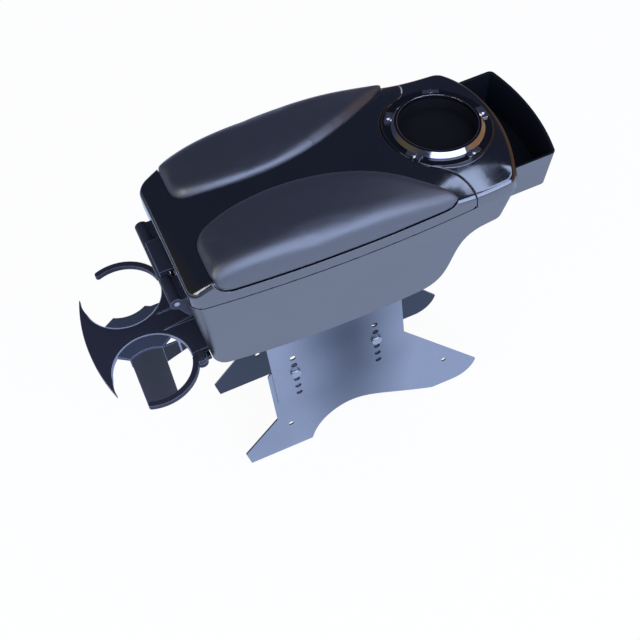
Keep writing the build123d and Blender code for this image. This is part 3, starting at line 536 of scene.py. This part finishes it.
def leather_pad(name, cad_name):
    """A foam pad in its lid pocket: the CAD form, rounded, drawn down at its edge and swollen as cloth."""
    pad = bpy.data.objects.new(name, nodes[cad_name].data.copy())
    bpy.context.scene.collection.objects.link(pad)
    select_only(pad)
    bpy.ops.object.mode_set(mode="EDIT")
    bpy.ops.mesh.select_all(action="SELECT")
    bpy.ops.mesh.remove_doubles(threshold=weld_distance)
    bpy.ops.mesh.customdata_custom_splitnormals_clear()
    bpy.ops.object.mode_set(mode="OBJECT")
    remesh = pad.modifiers.new("foam", "REMESH")
    remesh.mode = "VOXEL"
    remesh.voxel_size = pad_voxel
    smooth_out(pad, pad_round_steps)
    taper(pad, nodes[cad_name].data)
    seat = pad.vertex_groups.new(name="seat")
    seat.add([v.index for v in pad.data.vertices if v.normal.z < -upright_limit], 1.0, "REPLACE")
    swell(pad, seat.name)
    smooth_out(pad, pad_settle_steps)
    fine = pad.modifiers.new("fine", "SUBSURF")
    fine.levels = 1
    fine.render_levels = 1
    apply_modifiers(pad)
    bpy.ops.object.shade_smooth()
    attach(pad, "lid")
    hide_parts(cad_name)


# Stage

def pale_floor():
    """A white floor with a soft shadow; its reflection is cool, dim at left and warm at the back right."""
    bpy.ops.mesh.primitive_plane_add(size=floor_size, location=(0, 0, -floor_drop))
    floor = bpy.context.object
    floor.name = "floor"
    material, tree, place = start_material("pale_floor")
    path = add_node(tree, "ShaderNodeLightPath", {})
    axes = add_node(tree, "ShaderNodeSeparateXYZ", {"Vector": place})
    cool = blend(tree, axes.outputs["X"], floor_left, linear("#c6d8ff"), linear("#4a5266"))
    warm = blend(tree, axes.outputs["Y"], floor_back, cool, linear("#86684c"))
    cast = blend(tree, axes.outputs["X"], floor_right, cool, warm)
    seen = add_node(tree, "ShaderNodeMath", {
        0: path.outputs["Is Camera Ray"], 1: path.outputs["Is Glossy Ray"]}, operation="MAXIMUM")
    share = add_node(tree, "ShaderNodeMath", {0: seen.outputs["Value"], 1: floor_glow}, operation="MULTIPLY")
    tint = add_node(tree, "ShaderNodeMix", {
        "Factor": path.outputs["Is Glossy Ray"], "A": linear("#ffffff"), "B": cast}, data_type="RGBA")
    paint = add_node(tree, "ShaderNodeBsdfDiffuse", {"Color": linear("#fafbff")})
    glow = add_node(tree, "ShaderNodeEmission", {"Color": tint.outputs["Result"], "Strength": 1.0})
    shader = add_node(tree, "ShaderNodeMixShader", {
        "Fac": share.outputs["Value"], 1: paint.outputs[0], 2: glow.outputs[0]})
    close_material(tree, shader)
    floor.data.materials.append(material)


def studio_world():
    """Soft light from all round and a white backdrop; reflections show a dim room, warm at the right."""
    world = bpy.data.worlds.new("studio")
    bpy.context.scene.world = world
    world.use_nodes = True
    tree = world.node_tree
    tree.nodes.clear()
    path = add_node(tree, "ShaderNodeLightPath", {})
    direction = add_node(tree, "ShaderNodeTexCoord", {}).outputs["Generated"]
    axes = add_node(tree, "ShaderNodeSeparateXYZ", {"Vector": direction})
    walls = blend(tree, axes.outputs["Y"], room_back, linear("#7d8cab"), linear("#31374d"))
    middle = blend(tree, axes.outputs["Z"], room_ceiling, walls, linear("#31374d"))
    olive = blend(tree, axes.outputs["Z"], room_foot, linear("#4e483c"), linear("#b4c0d6"))
    cool = blend(tree, axes.outputs["X"], room_left, middle, olive)
    room = blend(tree, axes.outputs["X"], room_right, cool, linear("#85664a"))
    even = add_node(tree, "ShaderNodeBackground", {"Color": linear("#e8eeff"), "Strength": room_light})
    dim = add_node(tree, "ShaderNodeBackground", {"Color": room, "Strength": 1.0})
    white = add_node(tree, "ShaderNodeBackground", {"Color": linear("#ffffff"), "Strength": 1.0})
    glossy = add_node(tree, "ShaderNodeMixShader", {
        "Fac": path.outputs["Is Glossy Ray"], 1: even.outputs[0], 2: dim.outputs[0]})
    shown = add_node(tree, "ShaderNodeMixShader", {
        "Fac": path.outputs["Is Camera Ray"], 1: glossy.outputs[0], 2: white.outputs[0]})
    add_node(tree, "ShaderNodeOutputWorld", {"Surface": shown.outputs[0]})


def softbox(name, place, size, power, colour):
    """A rectangular lamp that faces the armrest's middle."""
    lamp = bpy.data.lights.new(name, "AREA")
    lamp.shape = "RECTANGLE"
    lamp.size, lamp.size_y = size
    lamp.energy = power
    lamp.color = linear(colour)[:3]
    made = bpy.data.objects.new(name, lamp)
    bpy.context.scene.collection.objects.link(made)
    made.location = place
    made.rotation_euler = (armrest_middle - made.location).to_track_quat("-Z", "Y").to_euler()


def photo_camera():
    """The camera at the photograph's place and tilt."""
    data = bpy.data.cameras.new("photo_camera")
    data.lens = camera_lens
    data.sensor_width = camera_sensor
    camera = bpy.data.objects.new("photo_camera", data)
    bpy.context.scene.collection.objects.link(camera)
    camera.matrix_world = Matrix.Translation(camera_place) @ Matrix(
        (camera_right, camera_up, camera_back)).transposed().to_4x4()
    bpy.context.scene.camera = camera


dress_cad_nodes()
for side in ("near", "far"):
    leather_pad(f"leather_pad_{side}", f"pad_{side}")
pale_floor()
studio_world()
softbox("front_window", place=(0.2, -1.5, 1.2), size=(2.6, 1.6), power=34.0, colour="#c2d3ff")
softbox("roof_window", place=(0.85, -0.25, 1.6), size=(1.0, 0.2), power=1.5, colour="#c4d6ff")
softbox("side_window", place=(-1.1, -0.35, 0.9), size=(0.6, 0.6), power=3.0, colour="#f4f6ff")
photo_camera()
bpy.context.scene.view_settings.view_transform = "Standard"
